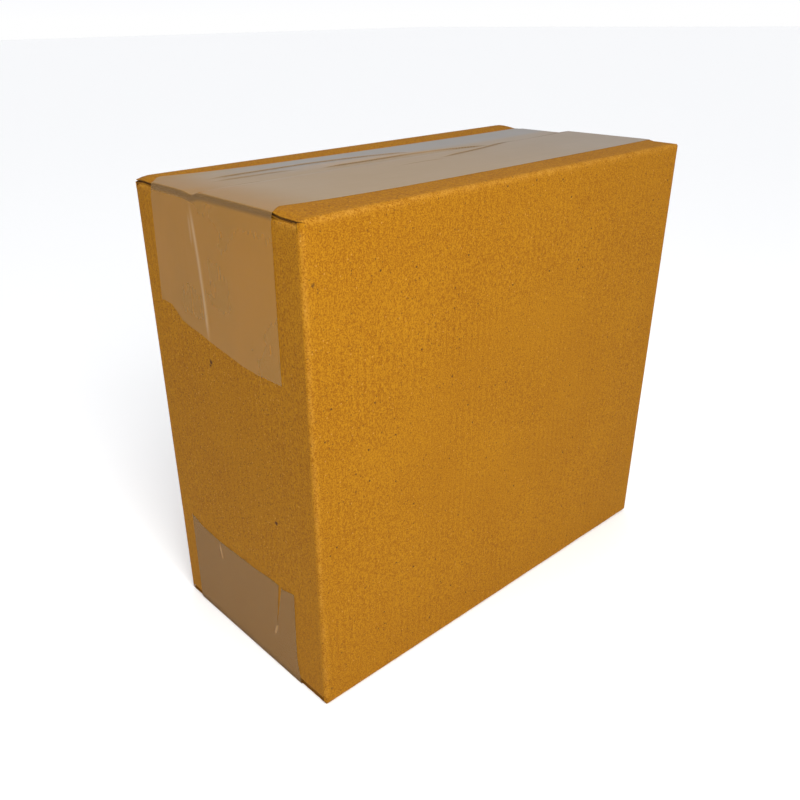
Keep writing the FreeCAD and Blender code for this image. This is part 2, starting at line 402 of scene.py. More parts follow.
# A thin sheet from a flat layout: place(flat, depth) puts the flat points in space, and the rim
# runs from the outer face round to the inner one through the given steps of depth and setback
def thinSheet(name, flat, faces, thickness, rim, place, ragged=0.0):
    flat = np.array(flat, float)
    count = len(flat)
    outline, edgePoints, inward = flatOutline(flat, faces)
    if ragged:
        points = flat[edgePoints]
        nibble = ragged * np.clip(0.5 + 0.5 * wobble(points[:, 0], points[:, 1], 2.3, 5), 0, 1)
        flat[edgePoints] += inward[edgePoints] * nibble[:, None]

    rings = [place(flat[edgePoints] + inward[edgePoints] * setback, depth) for depth, setback in rim]
    coords = np.vstack([place(flat, 0.0), place(flat, thickness), *rings])
    everyFace = [tuple(face) for face in faces]
    everyFace += [tuple(point + count for point in reversed(face)) for face in faces]
    everyFace += rimFaces(outline, edgePoints, count, len(rim))
    piece = addMesh(name, (coords * 0.001).tolist(), everyFace)
    piece.data.polygons.foreach_set("use_smooth", [True] * len(piece.data.polygons))
    piece.data.set_sharp_from_angle(angle=sharpAngle)
    return piece, {"flat": flat, "outline": outline, "edgePoints": edgePoints}


# Where each of a sheet's points lies in the layout: both faces, then the rim's rings
def everySpot(layout, rings):
    flat = layout["flat"]
    return np.vstack([flat, flat, *([flat[layout["edgePoints"]]] * rings)])


def giveMap(piece, name, layout, rings):
    spots = everySpot(layout, rings) * 0.001
    corners = np.empty(len(piece.data.loops), int)
    piece.data.loops.foreach_get("vertex_index", corners)
    uv = piece.data.uv_layers.new(name=name)
    uv.data.foreach_set("uv", spots[corners].astype(np.float32).ravel())


def giveValue(piece, name, values):
    attribute = piece.data.attributes.new(name, "FLOAT", "POINT")
    attribute.data.foreach_set("value", np.asarray(values, np.float32))


# The carton's blank. u runs round the walls from the right wall's raw edge, by way of the front,
# the left and the rear, to the glue tab. v runs up them and is 0 half way up.

carton = {
    "skin": 0.05,  # the shell stays this far inside the solid, so that the film has room
    "thickness": 1.45,
    "innerFold": 0.4,
    "board": 1.5,
    "layerGap": 0.2,
    "endInset": 0.6,  # the long flaps end this far inside the end walls' faces
    "slotDepth": 0.5,
    "seamGap": 0.8,
    "seamShift": 6.0,
    "tabWidth": 25.0,
    "tabTrim": 0.4,
    "tabTaper": 8.0,
    "jointGap": 0.6,
    "cell": 2.1,
    "turnShares": [0.20, 0.40, 0.58, 0.75, 0.91],  # where the columns lie in a corner's fold
    "wallRows": 54,
    "bendRows": 8,
    "flapRows": 26,
    "liner": 0.27,
    "hollow": 0.8,  # how deep the raw edges are open between the liners
    "slant": 0.03,
    "ragged": 0.16,
    "crease": 1.3,  # half width of the worn band along a flap's fold
    "cornerCrease": (0.75, 1.1),  # strength and half width along a corner's
    # the lips are the liners' darker cut edges, and the deeper rings carry painted shade in the hollow
    "cutAndHollowShade": [0.35, 1.0, 1.0, 0.35],  # how dark the rim's rings are
}
outerFold = carton["board"] + carton["innerFold"]
endLevel = topLevel - carton["board"] - carton["layerGap"]
wallTop = endLevel - outerFold - carton["slotDepth"] - midLevel
bendLength = outerFold * math.pi / 2
flatX = halfLength - outerFold
flatY = halfWidth - outerFold
rawEdge = flatY - carton["jointGap"]
tabFold = flatX - carton["board"]
longStart = topLevel - outerFold - midLevel  # where the long flaps start to bend
cornerTop = longStart + 2 * bendLength / carton["bendRows"]  # how far up the corners' folds reach

# Each run: kind, start, direction and length. A turn has its centre and its first angle instead.
runs = [
    ("right", (halfLength, rawEdge), (0, -1), rawEdge + flatY),
    ("turn", (flatX, -flatY), 0.0, bendLength),
    ("front", (flatX, -halfWidth), (-1, 0), 2 * flatX),
    ("turn", (-flatX, -flatY), -90.0, bendLength),
    ("left", (-halfLength, -flatY), (0, 1), 2 * flatY),
    ("turn", (-flatX, flatY), -180.0, bendLength),
    ("rear", (-flatX, halfWidth), (1, 0), flatX + tabFold),
    ("turn", (tabFold, flatY), 90.0, bendLength),
    ("tab", (halfLength - carton["board"], flatY), (0, -1), carton["tabWidth"] - carton["tabTrim"]),
]
runStarts = np.concatenate([[0], np.cumsum([run[3] for run in runs])])
runKinds = np.array([run[0] for run in runs])
halfReach = halfWidth - carton["seamGap"] / 2
reaches = {
    ("front", 1): halfReach + carton["seamShift"],
    ("rear", 1): halfReach - carton["seamShift"],
    ("front", -1): halfReach,
    ("rear", -1): halfReach,
}


# Where a place on the top, the bottom or a wall gives way, in millimetres

settling = {
    "sag": 0.55,
    "sagReach": 99.0,
    "rearDrop": (0.55, 1.05),  # at the left and at the right
    "dropSpan": (-60, 95),  # where along x it grows
    "dropFade": (14, 4),  # how far before the rear wall it starts to fade, and is gone
    "frontDrop": (0.20, 0.20, 12, 9),  # all along, more at the left end, spreads in x and y
    "cornerDroop": (0.8, 3.2),  # depth and spread
    "seamDip": 0.7,
    "press": 0.60,
    "pressFrom": (5, 4.4),  # how far before the end the press starts, and over what length
    "pressBeside": (34, 39),  # how far from the middle line the flaps' bare ends begin
    "wallBow": 0.55,
    "endBow": 0.45,
    "waver": (0.10, 34.0, 8),  # the bottom's unevenness: height, size and seed
    "soft": (0.05, 40.0, 3),  # the faces' unevenness: height, size and seed
}


def topSag(x, y):
    seam = carton["seamShift"]
    fromFold = np.where(y < seam, (seam - y) / (halfWidth + seam), (y - seam) / (halfWidth - seam))
    middle = np.clip(1 - (x / settling["sagReach"]) ** 2, 0, 1)
    return settling["sag"] * middle * np.clip(1 - fromFold ** 2, 0, 1)


def rearDrop(x):
    low, high = settling["rearDrop"]
    return low + (high - low) * smooth(*settling["dropSpan"], x)


# The drop goes out towards the rear wall's fold
def dropFade(y):
    start, gone = settling["dropFade"]
    return 1 - smooth(halfWidth - start, halfWidth - gone, y)


# The notch where the seam meets the left end
def seamDip(x, y, middle, spread, along):
    return settling["seamDip"] * hump(y, middle, spread) * hump(x, -101, along)


# The rear flap, and the end flaps and end walls under it, lie lower behind the seam
def underDrop(x, y):
    behind = smooth(carton["seamShift"] - 5, carton["seamShift"] - 0.5, y)
    return topSag(x, y) + behind * dropFade(y) * rearDrop(x) + seamDip(x, y, 9.5, 4.6, 8)


def frontDrop(x, y):
    everywhere, atLeft, along, across = settling["frontDrop"]
    edge = (everywhere + atLeft * hump(x, -halfLength, along)) * hump(y, -halfWidth, across)
    return topSag(x, y) + edge


def cornerDroop(x, y):
    depth, spread = settling["cornerDroop"]
    away = np.hypot(x + halfLength, y - halfWidth)
    return depth * hump(away, 0, spread)


# The long flaps' bare ends are pressed down onto the end flaps
def endPress(x, y):
    before, length = settling["pressFrom"]
    share = np.clip((np.abs(x) - halfLength + before) / length, 0, 1)
    return settling["press"] * share ** 3 * smooth(*settling["pressBeside"], np.abs(y))


def wallBow(x, y, z):
    reach = np.clip((z - midLevel) / (wallTop - 1), -1, 1)
    height = np.cos(math.pi / 2 * reach) ** 1.3
    longSide = np.clip(np.cos(math.pi * x / (2 * halfLength)), 0, 1)
    shortSide = np.clip(np.cos(math.pi * y / (2 * halfWidth)), 0, 1)
    return settling["wallBow"] * height * longSide, settling["endBow"] * height * shortSide


def unevenness(name, first, second):
    rise, size, seed = settling[name]
    return rise * (1 + wobble(first, second, size, seed))


# Where u lies on the ring of walls, seen from above: the place, the way outward and the run
def ringPlace(u):
    number = np.clip(np.searchsorted(runStarts, u + 1e-4, side="right") - 1, 0, len(runs) - 1)
    centre = np.zeros((len(u), 2))
    normal = np.zeros((len(u), 2))
    for index, (kind, start, way, length) in enumerate(runs):
        # A point where a turn meets a wall belongs to the wall, which carries the flaps
        if kind == "turn":
            mine = (number == index) & (u - runStarts[index] > 1e-4)
        else:
            mine = (u >= runStarts[index] - 1e-4) & (u <= runStarts[index + 1] + 1e-4)
        along = u[mine] - runStarts[index]
        if kind == "turn":
            angle = np.radians(way) - along / outerFold
            facing = np.stack([np.cos(angle), np.sin(angle)], 1)
            centre[mine] = np.array(start) + outerFold * facing
            normal[mine] = facing
        else:
            centre[mine] = np.array(start) + along[:, None] * np.array(way)
            normal[mine] = (-way[1], way[0])
        number[mine] = index
    return centre, normal, number


# The blank's points in space, at a depth below the outer face
def foldBlank(flat, depth):
    u, v = flat[:, 0], flat[:, 1]
    depth = depth + carton["skin"]
    centre, normal, number = ringPlace(u)
    kinds = runKinds[number]
    isLong = (kinds == "front") | (kinds == "rear")
    isEnd = (kinds == "left") | (kinds == "right")
    upper = np.where(v >= 0, 1.0, -1.0)
    height = np.abs(v)
    level = np.where(isEnd, endLevel, topLevel) - midLevel
    bendStart = np.where(isLong | isEnd, level - outerFold, 1e6)

    # The tab's ends slant
    tab = kinds == "tab"
    share = np.clip((u - runStarts[-2]) / (runStarts[-1] - runStarts[-2]), 0, 1)
    height = np.where(tab, height * (1 - share * carton["tabTaper"] / wallTop), height)

    # Flaps widen a little from their roots at the slots, to their full width round the bend
    spread = smooth(cornerTop, cornerTop + 1.1, height)
    root = np.where((kinds == "rear") & (centre[:, 0] > 0), tabFold, flatX)
    wide = (halfLength - carton["endInset"]) / root
    centre[:, 0] *= np.where(isLong, 1 + (wide - 1) * spread, 1.0)

    turn = np.clip((height - bendStart) / outerFold, 0, math.pi / 2)
    inset = outerFold - (outerFold - depth) * np.cos(turn)
    rise = np.minimum(height, bendStart) + (outerFold - depth) * np.sin(turn)
    beyond = np.maximum(height - bendStart - bendLength, 0)
    inset = np.where(height <= bendStart, depth, inset + beyond)
    points = np.empty((len(u), 3))
    points[:, :2] = centre - normal * inset[:, None]
    points[:, 2] = midLevel + upper * rise
    return settle(points, kinds, upper, height, normal)


# Seen from outside u runs to the left, so the layout that makes the mesh has its sign changed
def foldLayout(spots, depth):
    return foldBlank(spots * (-1, 1), depth)


def settle(points, kinds, upper, height, normal):
    x, y, z = points.T.copy()
    onTop = upper > 0
    nearTop = smooth(topLevel - 16, endLevel - outerFold, z)
    isFlap = height > wallTop + 1e-6
    drop = np.where(kinds == "front", frontDrop(x, y), underDrop(x, y))
    drop = np.where(kinds == "rear", underDrop(x, np.maximum(y, carton["seamShift"])), drop)
    isLong = (kinds == "front") | (kinds == "rear")
    pressed = isLong * smooth(longStart + bendLength / 2, longStart + bendLength, height)
    drop = drop + endPress(x, y) * pressed
    sinking = np.where(isFlap, 1.0, nearTop)
    droop = cornerDroop(x, y) * smooth(topLevel - 9, topLevel - 1, z)
    z = np.where(onTop, z - drop * sinking - droop, z)
    waver = unevenness("waver", x, y) * smooth(baseLevel + 12, baseLevel, z)
    z = z + np.where(onTop, 0.0, waver)
    bowLong, bowEnd = wallBow(x, y, z)
    onWall = np.where(isFlap, 0.0, 1.0)
    soft = unevenness("soft", x + y, z) * 0.5
    bow = np.where(np.abs(normal[:, 1]) > 0.5, bowLong, bowEnd) * onWall + soft
    points[:, 0] = x - normal[:, 0] * bow * onWall
    points[:, 1] = y - normal[:, 1] * bow * onWall
    points[:, 2] = z
    return points


def flapRowHeights(kind, side):
    level = (endLevel if kind in ("left", "right") else topLevel) - midLevel
    start = level - outerFold
    reach = reaches.get((kind, side), halfReach) - outerFold
    rows = [wallTop + (start - wallTop) * 0.5, start]
    for first, length, count in ((start, bendLength, carton["bendRows"]),
                                 (start + bendLength, reach, carton["flapRows"])):
        rows += [first + length * (row + 1) / count for row in range(count)]
    return rows


# A corner's fold that follows an end wall, and not a long one
def afterEndWall(index):
    return runs[index - 1][0] in ("left", "right")


def layBlank():
    columns, columnRuns = [0.0], []
    for index, run in enumerate(runs):
        if run[0] == "turn":
            # The column beside the end wall is as narrow as the slot that is cut from it
            shares = np.array(carton["turnShares"])
            shares = np.append(1 - shares[::-1] if afterEndWall(index) else shares, 1.0)
        else:
            cells = max(4, round(run[3] / carton["cell"]))
            shares = np.arange(1, cells + 1) / cells
        for share in shares:
            columns.append(runStarts[index] + run[3] * share)
            columnRuns.append(index)
    levels = np.linspace(-1, 1, carton["wallRows"] + 1)
    walls = np.sign(levels) * np.abs(levels) ** 0.85 * wallTop
    flat, faces, known = [], [], {}

    def point(u, v):
        key = (round(u, 5), round(v, 5))
        if key not in known:
            known[key] = len(flat)
            flat.append(key)
        return known[key]

    def cell(u0, u1, v0, v1):
        faces.append([point(u0, v0), point(u0, v1), point(u1, v1), point(u1, v0)])

    for column, index in enumerate(columnRuns):
        u0, u1 = columns[column], columns[column + 1]
        for low, high in zip(walls, walls[1:]):
            cell(u0, u1, low, high)
        kind = runs[index][0]
        if kind == "turn":
            # The corner's fold runs on up beside the long flap, and the slot lies beyond it
            beside = u0 - runStarts[index] if afterEndWall(index) else runStarts[index + 1] - u1
            if beside > 1e-6:
                rows = [wallTop] + flapRowHeights("front", 1)[:4]
                for side in (1, -1):
                    for low, high in zip(rows, rows[1:]):
                        cell(u0, u1, *sorted((side * low, side * high)))
        if kind in ("turn", "tab"):
            continue
        for side in (1, -1):
            rows = [wallTop] + flapRowHeights(kind, side)
            for low, high in zip(rows, rows[1:]):
                cell(u0, u1, *sorted((side * low, side * high)))
    return flat, faces


def makeCarton():
    flat, faces = layBlank()
    flat = [(-u, v) for u, v in flat]
    liner, hollow, slant = carton["liner"], carton["hollow"], carton["slant"]
    board = carton["thickness"]
    rim = [(liner, 0.0), (liner + slant, hollow), (board - liner - slant, hollow), (board - liner, 0.0)]
    piece, layout = thinSheet("carton_shell", flat, faces, board, rim, foldLayout, carton["ragged"])
    layout["flat"] = layout["flat"] * (-1, 1)
    giveMap(piece, "blank", layout, len(rim))

    u, v = everySpot(layout, len(rim)).T
    _, _, number = ringPlace(u)
    kinds = runKinds[number]
    level = np.where((kinds == "left") | (kinds == "right"), endLevel, topLevel) - midLevel
    foldLine = level - outerFold + bendLength / 2
    creased = hump(np.abs(v), foldLine, carton["crease"]) * (kinds != "turn")
    strength, spread = carton["cornerCrease"]
    for index in np.flatnonzero(runKinds == "turn"):
        middle = (runStarts[index] + runStarts[index + 1]) / 2
        creased = np.maximum(creased, strength * hump(u, middle, spread) * (np.abs(v) < wallTop))
    giveValue(piece, "wear", creased)
    # Cut edges: darker lips, and painted shade deeper in the hollow between the liners
    cut = np.zeros(len(u))
    cut[2 * len(layout["flat"]):] = np.repeat(carton["cutAndHollowShade"], len(layout["edgePoints"]))
    giveValue(piece, "cut", cut)
    piece.data.materials.append(kraftMaterial)
    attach(piece, "root")
    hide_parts("carton")
    print(f"carton shell: {len(piece.data.polygons)} faces")
    return layout


cartonLayout = makeCarton()


# The fluted web that shows between the liners at the raw edges. Cut along the flutes it is one
# wandering line, cut across them it is a wave.

flutes = {
    "pitch": 3.2,
    "wander": 84.0,
    "height": 0.36,
    "web": 0.10,
    "front": 0.32,  # how far behind the raw edge the web starts and ends
    "back": 0.88,
    "step": 0.32,
    "upStep": 1.1,  # the step where the edge runs along the flutes
    "probe": 0.1,  # half the distance over which the way through the board is measured
    "colour": rgb(0.215, 0.095, 0.020),
    "shade": rgb(0.120, 0.050, 0.010),
}


def flutePaint():
    paint = Paint("fluted web")
    place = paint.place()
    grain = paint.noise(place, 0.8, 3.0, 0.6)
    cloud = paint.noise(place, 12.0, 2.0, 0.5)
    colour = paint.blend((grain * 0.7 + cloud * 0.3).clamped(), flutes["shade"], flutes["colour"])
    normal = paint.bump(0.4, 0.00005, grain)
    return paint.finish(colour, 0.82 + (grain - 0.5) * 0.2, normal, {"Specular IOR Level": 0.15})


# The sheet's outline as one closed walk over its points
def walkOutline(layout):
    after = dict(layout["outline"])
    walk = [layout["outline"][0][0]]
    while after[walk[-1]] != walk[0]:
        walk.append(after[walk[-1]])
    return walk


def fluteTree():
    form = Form("fluted web")
    source, height, web, pitch, material = form.inlets({
        "Height": ("NodeSocketFloat", flutes["height"] / 1000),
        "Web": ("NodeSocketFloat", flutes["web"] / 1000),
        "Pitch": ("NodeSocketFloat", flutes["pitch"]),
        "Material": ("NodeSocketMaterial", flutePaint()),
    })
    along = form.add("GeometryNodeInputNamedAttribute", {"data_type": "FLOAT"}, {0: "along"})
    through = form.add("GeometryNodeInputNamedAttribute", {"data_type": "FLOAT_VECTOR"},
                       {0: "through"})
    wave = form.add("ShaderNodeMath", {"operation": "SINE"}, {0: along * (2 * math.pi) / pitch})
    offset = form.vector("SCALE", through, scale=wave * height - web * 0.5)
    waved = form.add("GeometryNodeSetPosition", {}, {"Geometry": source, "Offset": offset})
    grown = form.add("GeometryNodeExtrudeMesh", {"mode": "FACES"}, {
        "Mesh": waved, "Offset": through, "Offset Scale": web, "Individual": False})
    under = form.add("GeometryNodeFlipFaces", {}, {0: waved})
    both = form.add("GeometryNodeJoinGeometry")
    for part in (grown, under):
        form.tree.links.new(part.socket, both.socket.node.inputs[0])
    closed = form.add("GeometryNodeMergeByDistance", {}, {"Geometry": both, "Distance": 1e-6})
    real = form.add("GeometryNodeRealizeInstances", {}, {0: closed})
    return form, form.add("GeometryNodeSetMaterial", {}, {"Geometry": real, "Material": material})


def makeFlutes(layout):
    walk = layout["flat"][walkOutline(layout)] * (-1, 1)
    coords, faces, along, through = [], [], [], []
    middle = carton["thickness"] / 2
    probe = flutes["probe"]
    previous = None
    for start, end in zip(walk, np.roll(walk, -1, axis=0)):
        run = end - start
        length = float(np.hypot(*run))
        centre = (start + end) / 2
        _, _, number = ringPlace(-centre[:1])
        kind = runKinds[number[0]]
        isLong = kind in ("front", "rear") and abs(centre[1]) > cornerTop + 0.5
        acrossFlutes = abs(run[0]) > abs(run[1])
        wallEdge = kind == "right" and not acrossFlutes and abs(centre[1]) < wallTop
        if not (isLong or wallEdge) or length < 1e-6:
            previous = None
            continue
        inward = np.array([-run[1], run[0]]) / length
        pace = 1.0 if acrossFlutes else flutes["pitch"] / flutes["wander"]
        cells = max(1, round(length / flutes["step" if acrossFlutes else "upStep"]))
        for cell in range(cells + 1):
            if cell == 0 and previous is not None and previous[1] == acrossFlutes:
                continue
            spot = start + run * cell / cells
            rails = np.array([spot + inward * flutes["front"], spot + inward * flutes["back"]])
            outer, inner = foldLayout(rails, middle - probe), foldLayout(rails, middle + probe)
            base = len(coords)
            coords.extend((outer + inner) / 2)
            through.extend((outer - inner) / (2 * probe))
            travelled = 0.0 if previous is None or cell == 0 else previous[0] + length / cells * pace
            along.extend([travelled, travelled])
            if previous is not None and cell > 0:
                faces.append((base - 2, base, base + 1, base - 1))
            previous = (travelled, acrossFlutes)
    piece = addMesh("carton_flutes", (np.array(coords) * 0.001).tolist(), faces)
    giveValue(piece, "along", along)
    lines = piece.data.attributes.new("through", "FLOAT_VECTOR", "POINT")
    lines.data.foreach_set("vector", np.array(through, np.float32).ravel())
    form, end = fluteTree()
    form.shape(piece, end)
    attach(piece, "root")
    print(f"flutes: {len(piece.data.polygons)} faces")


makeFlutes(cartonLayout)


# The tape. A strip is laid out flat: a runs along it from the middle towards the right, b runs
# across it from its middle line towards the rear.

tape = {
    "width": 72.0,
    "thickness": 0.08,
    "stepAlong": 1.5,
    "tornStep": 0.55,
    "tornJoin": 9.0,  # the torn part is laid out freely up to this far from the bend
    "jag": 0.07,
    "grid": 0.9,
    "edgeRoom": 0.3,  # how far the torn part's inner points stay from its outline
    "bendStep": 0.4,
    "bendParts": (-1.0, 1.5, 4.0),  # near these places past the end the steps are short
    "bendReach": 2.2,
    "tooth": (1.5, 0.55),  # the cut end's teeth: their width and depth
    # the path at an end: in from the end wall's plane and down from the face, + into the carton
    "path": [
        (5.0, -0.08), (2.0, -0.08), (0.9, -0.08), (0.5, -0.07), (0.2, 0.05), (0.02, 0.45),
        (-0.05, 1.2), (-0.08, 2.4), (-0.08, 5.0), (-0.08, 7.0), (-0.08, 70.0),
    ],
    "pathStep": 0.1,
    "rounding": 9,  # how many steps of the path are evened out together
    "straight": 20,  # as many steps at both ends are left as they are
    "flatSteps": 60,  # the path is still on the flat for this many steps
}

# The tears: share of the width from the front edge, and how far the film is torn back
topTear = [
    (0.0, 0.3), (0.18, 0.0), (0.30, 0.5), (0.43, 2.1), (0.57, 3.8), (0.65, 5.2),
    (0.73, 6.0), (0.81, 7.3), (0.86, 9.9), (0.90, 11.9), (0.98, 12.4), (1.0, 12.0),
]
bottomTear = [
    (0.0, 1.6), (0.10, 3.3), (0.112, 3.1), (0.17, 22.8), (0.136, 2.8), (0.22, 2.7),
    (0.34, 3.5), (0.71, 3.8), (0.89, 2.5), (1.0, 0.0),
]

topTape = {
    "name": "top_film", "node": "top_tape", "up": 1, "shift": 1.0, "torn": 55.4, "cut": 48.0,
    "tear": topTear, "seed": 21, "fine": (-9.0, 29.0), "fineStep": 0.32, "face": topLevel,
}
bottomTape = {
    "name": "bottom_film", "node": "bottom_tape", "up": -1, "shift": 3.0, "torn": 44.7,
    "cut": 46.0, "tear": bottomTear, "seed": 22, "fine": (-24.0, 24.0), "fineStep": 0.5,
    "face": baseLevel,
}

# Ripples in the top film: points (from the left end, from the rear), height and half width
ripples = [
    ([(15, 22.4), (30, 21.8), (60, 20.8), (75, 21.6), (90, 23.0), (105, 26.0), (114, 28.5)],
     0.38, 0.60),
    ([(13, 27.8), (28, 27.9), (40, 27.6), (54, 28.6)], 0.30, 0.55),
    ([(58, 31.8), (80, 32.0), (100, 31.4), (112, 31.4), (125, 33.0), (138, 35.8), (150, 38.2)],
     0.42, 0.65),
    ([(104, 49.6), (120, 47.4), (135, 45.2), (148, 42.5), (162, 40.0), (185, 39.8), (206, 42.4)],
     0.36, 0.70),
    ([(80, 51.2), (95, 50.8), (110, 52.0)], 0.12, 0.6),
    ([(14, 38.6), (32, 38.2)], 0.10, 0.6),
]
# Creases in the film on the left wall: points (from the front, height), height and half width
topCreases = [
    ([(60.2, 182), (59.4, 172), (58.2, 160), (57.4, 147), (57.3, 129)], 0.30, 0.75),
    ([(61.6, 177), (61.2, 163)], 0.16, 0.55),
]
bottomCreases = [
    ([(67.4, 41), (66.8, 36), (65.8, 31.5)], 0.22, 0.5),
    ([(28.3, 22.5), (29.3, 20.6), (31.8, 14.5)], 0.22, 0.55),
    ([(51, 21.6), (56, 20.6), (60, 19.6)], 0.08, 0.6),
]


def ridge(first, second, points, height, spread):
    points = np.array(points, float)
    line = np.interp(first, points[:, 0], points[:, 1])
    start, end = points[0, 0], points[-1, 0]
    taper = min(12.0, (end - start) / 3)
    fade = smooth(start, start + taper, first) * (1 - smooth(end - taper, end, first))
    return height * fade * hump(second, line, spread)


def travelled(x, z):
    return np.concatenate([[0], np.cumsum(np.hypot(np.diff(x), np.diff(z)))])


# The path that a strip follows at one end, outer face: across the top, over the bend, down the wall
def stripPath(strip):
    corners = np.array([(halfLength, -tape["thickness"])] + tape["path"])
    lines = (halfLength - corners[:, 0], corners[:, 1])
    lengths = travelled(*lines)
    fine = np.arange(0, lengths[-1], tape["pathStep"])
    kernel = np.hanning(tape["rounding"])
    kernel /= kernel.sum()
    x, z = [np.interp(fine, lengths, line) for line in lines]
    middle = slice(tape["straight"], -tape["straight"])
    for values in (x, z):
        values[middle] = np.convolve(values, kernel, "same")[middle]
    return travelled(x, z), x, strip["face"] - strip["up"] * z


# How the film leaves its path: outward, where it is unstuck or has a painted highlight, where shade is
# painted, and how far it sinks
def filmLift(strip, x, y, z, onWall):
    lift, loose, shade, sink = np.zeros((4, len(x)))
    if strip["up"] > 0:
        seam = carton["seamShift"]
        # Behind the seam the film spans a gap, wider in the middle and at the right
        tent = 3.2 + 4.3 * hump(x, -10, 55) + 1.6 * smooth(60, 95, x)
        behind = smooth(seam - 0.2, seam + tent, y)
        sink = (topSag(x, y) + behind * dropFade(y) * rearDrop(x) + seamDip(x, y, 9.8, 4.0, 7)
                + 0.25 * hump(y, -halfWidth, 9))
        fromLeft, fromRear = x + halfLength, halfWidth - y
        for points, height, spread in ripples:
            lift += ridge(fromLeft, fromRear, points, height, spread)
            # Painted highlight just behind each ripple
            highlightBehind = ridge(fromLeft, fromRear + 0.8 * spread, points, height / 0.4, spread)
            # Painted shade just before each ripple
            shadeBefore = ridge(fromLeft, fromRear - 0.9 * spread, points, height / 0.4, 0.8 * spread)
            loose = np.maximum(loose, highlightBehind)
            shade = np.maximum(shade, shadeBefore)
        # A long leaf of the film between the ripples is unstuck
        leaf = hump(fromRear, np.interp(fromLeft, [50, 100, 130], [27, 28.5, 33.5]), 3.2)
        leaf = 0.6 * leaf * smooth(40, 70, fromLeft) * (1 - smooth(112, 140, fromLeft))
        loose = np.maximum(loose, leaf) * (1 - onWall)
        lift = lift * (1 - onWall)
        sink = (sink + endPress(x, y)) * smooth(topLevel - 18, topLevel - 3, z)
    left = onWall * (x < 0)
    _, bowEnd = wallBow(x, y, z)
    room = bowEnd + 0.015
    for points, height, spread in topCreases if strip["up"] > 0 else bottomCreases:
        points = sorted((high, front) for front, high in points)
        bump = ridge(z, y + halfWidth, points, height, spread) * left
        lift = lift + room * np.tanh(bump / room)
        loose = np.maximum(loose, bump / 0.3)
    return lift - bowEnd * onWall, loose, shade, sink


# What the film's material is told: where it lies on the top with a painted sheen, where a painted sky
# reflection lies, where shade is painted along the bend and before the ripples, where it is unstuck or
# has a painted highlight, and where it lies on the bottom
def filmLook(strip, a, y, onWall, loose, shade):
    onTop = (1 - onWall) * (strip["up"] > 0)
    away = np.abs(a) - halfLength
    # Painted shade over the bend, where the film turns down the end
    bend = smooth(-0.6, 0.1, away) * (1 - smooth(1.5, 2.5, away))
    return {
        "flatTop": onTop * (0.45 + 0.55 * smooth(0, 26, a + halfLength)),
        # Painted sky reflection behind the seam, and more of it towards the right end
        "haze": onTop * np.maximum(smooth(14, 25, y) * smooth(10, 60, a + halfLength),
                                   0.35 * smooth(90, 190, a + halfLength)),
        "fold": np.maximum(bend * 0.85, shade * onTop),
        "loose": loose,
        "low": np.full(len(y), float(strip["up"] < 0)),
    }


# The strip's flat points in space, and what its material is told
def stickFilm(strip, flat, depth):
    run, *path = stripPath(strip)
    a, b = flat[:, 0], flat[:, 1]
    away = np.abs(a)
    side = np.where(a < 0, -1.0, 1.0)
    x, z = [np.interp(away, run, line) for line in path]
    after, before = away + tape["pathStep"], away - tape["pathStep"]
    stepX, stepZ = [np.interp(after, run, line) - np.interp(before, run, line) for line in path]
    up = strip["up"]
    size = np.maximum(np.hypot(stepX, stepZ), 1e-9)
    normalX, normalZ = -stepZ / size * up, stepX / size * up
    onWall = smooth(0.35, 0.95, np.abs(normalX))
    y = strip["shift"] + b + sidewaysDrift(strip, a, b)
    lift, loose, shade, sink = filmLift(strip, side * x, y, z, onWall)
    points = np.empty((len(a), 3))
    points[:, 0] = side * (x + normalX * (lift - depth))
    points[:, 1] = y
    points[:, 2] = z + normalZ * (lift - depth) - sink
    return points, filmLook(strip, a, y, onWall, loose, shade)


# The strip's edges wander a little, as it was pulled down over the end
def sidewaysDrift(strip, a, b):
    share = b / tape["width"] + 0.5
    down = np.clip(-a - halfLength, 0, 60)
    if strip["up"] > 0:
        # Near the left end it was pulled towards the rear, and comes back at the fold
        inside = a + halfLength
        pulled = 4.3 * smooth(-0.5, 7.0, inside) * np.exp(-np.maximum(inside - 7.0, 0) / 24.0)
        rear = pulled - 1.0 * hump(a, -halfLength, 3) + 0.055 * down
        front = pulled - 0.5 * hump(a, -halfLength, 3) + 0.01 * down
    else:
        rear = -0.02 * down + 0.8
        front = -0.025 * down + 1.6 * smooth(0, 14, down)
    return rear * share + front * (1 - share) + 0.12 * wobble(a, 0 * b, 60.0, strip["seed"])


# The strip's regular part, in rows from the torn part's start to the cut end
def layRows(strip, join, cutEnd):
    half = tape["width"] / 2
    low, high = strip["fine"]
    stretches = [(-half, low, tape["grid"]), (low, high, strip["fineStep"]),
                 (high, half, tape["grid"])]
    across = [np.linspace(b0, b1, round((b1 - b0) / step) + 1)[:-1] for b0, b1, step in stretches]
    across = np.concatenate([*across, [half]])
    along = [join]
    while along[-1] < cutEnd - tape["bendStep"]:
        past = abs(along[-1]) - halfLength
        nearBend = min(abs(past - part) for part in tape["bendParts"]) < tape["bendReach"]
        along.append(along[-1] + tape["bendStep" if nearBend else "stepAlong"])
    along[-1] = cutEnd
    flat = [(a, b) for a in along for b in across]
    columns = len(across)
    # The cut end has the small teeth of a dispenser's blade
    width, depth = tape["tooth"]
    for index in range(len(flat) - columns, len(flat)):
        a, b = flat[index]
        flat[index] = (a - depth * abs(((b / width) % 1) - 0.5) * 2, b)
    faces = []
    for row in range(len(along) - 1):
        for column in range(columns - 1):
            start = row * columns + column
            faces.append([start, start + columns, start + columns + 1, start + 1])
    return flat, faces, across


